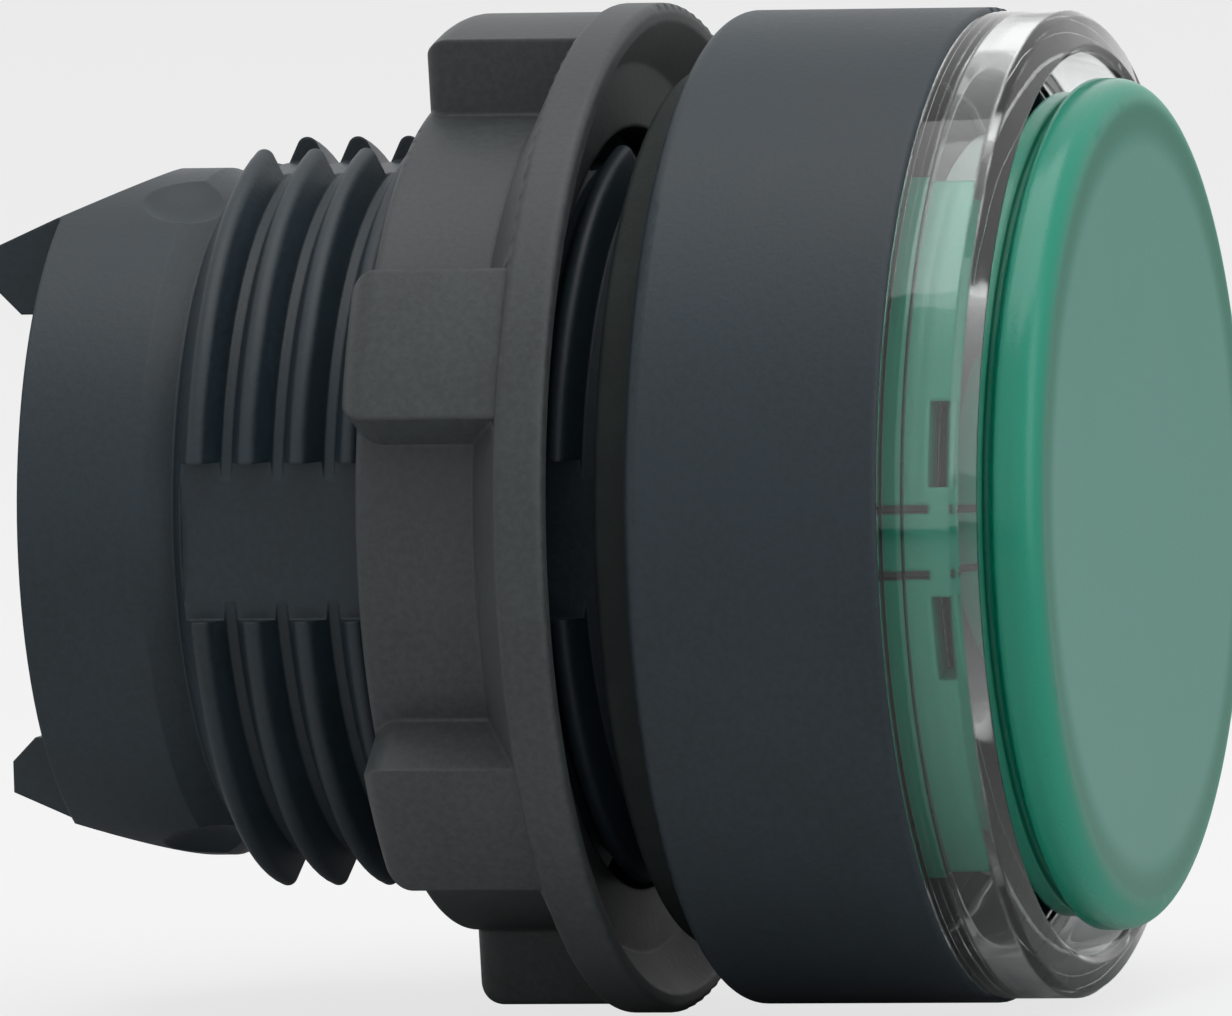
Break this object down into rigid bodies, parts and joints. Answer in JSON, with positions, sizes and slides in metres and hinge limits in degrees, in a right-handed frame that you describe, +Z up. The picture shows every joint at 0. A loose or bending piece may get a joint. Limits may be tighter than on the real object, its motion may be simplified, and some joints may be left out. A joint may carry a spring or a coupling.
{
  "type": "illuminated push button head",
  "caption": "Round spring-return push button head with a green lens, a clear guard ring, a black bezel, a threaded barrel and a lugged panel nut.",
  "frame": {"origin": "centre of the bezel's rear face, which seats on the front of the panel", "axes": "+Y along the button's axis towards the rear, +Z up, so the lens faces -Y"},
  "size_m": [0.0295, 0.0333, 0.0294],
  "materials": {
    "black_moulding": "fine satin, moulded polyamide",
    "nut_moulding": "fine satin, moulded polyamide, slightly lighter",
    "clear_moulding": "polished clear polycarbonate",
    "green_lens": "green translucent polycarbonate, satin face",
    "white_diffuser": "milky translucent polycarbonate",
    "carrier_moulding": "translucent grey-white moulding",
    "black_rubber": "matt nitrile rubber",
    "grey_moulding": "moulded acetal",
    "spring_steel": "drawn spring steel"
  },
  "bodies": {
    "housing": {"bezel": "black_moulding", "barrel": "black_moulding", "guard_ring": "clear_moulding", "guard_ring_seal": "black_rubber", "panel_gasket": "black_rubber", "return_spring": "spring_steel", "spring_seat": "spring_steel", "lip_seal": "black_rubber", "seal_retainer": "grey_moulding"},
    "button": {"lens_cap": "green_lens", "lens_o_ring": "black_rubber", "legend_plate": "white_diffuser", "diffuser": "white_diffuser", "lens_carrier": "carrier_moulding", "light_guide": "clear_moulding", "plunger": "black_moulding", "spring_washer": "spring_steel", "actuator_ring": "grey_moulding", "retaining_ring": "spring_steel"},
    "nut": {"panel_nut": "nut_moulding"}
  },
  "joints": [
    {"name": "button_press", "type": "slide", "parent": "housing", "child": "button", "axis": [0, 1, 0], "range_m": [0, 0.0041], "stiffness_N_per_m": 450, "springref_m": -0.005, "deforming": ["return_spring"]},
    {"name": "nut_travel", "type": "slide", "parent": "housing", "child": "nut", "axis": [0, 1, 0], "range_m": [-0.0013, 0.0037]}
  ]
}
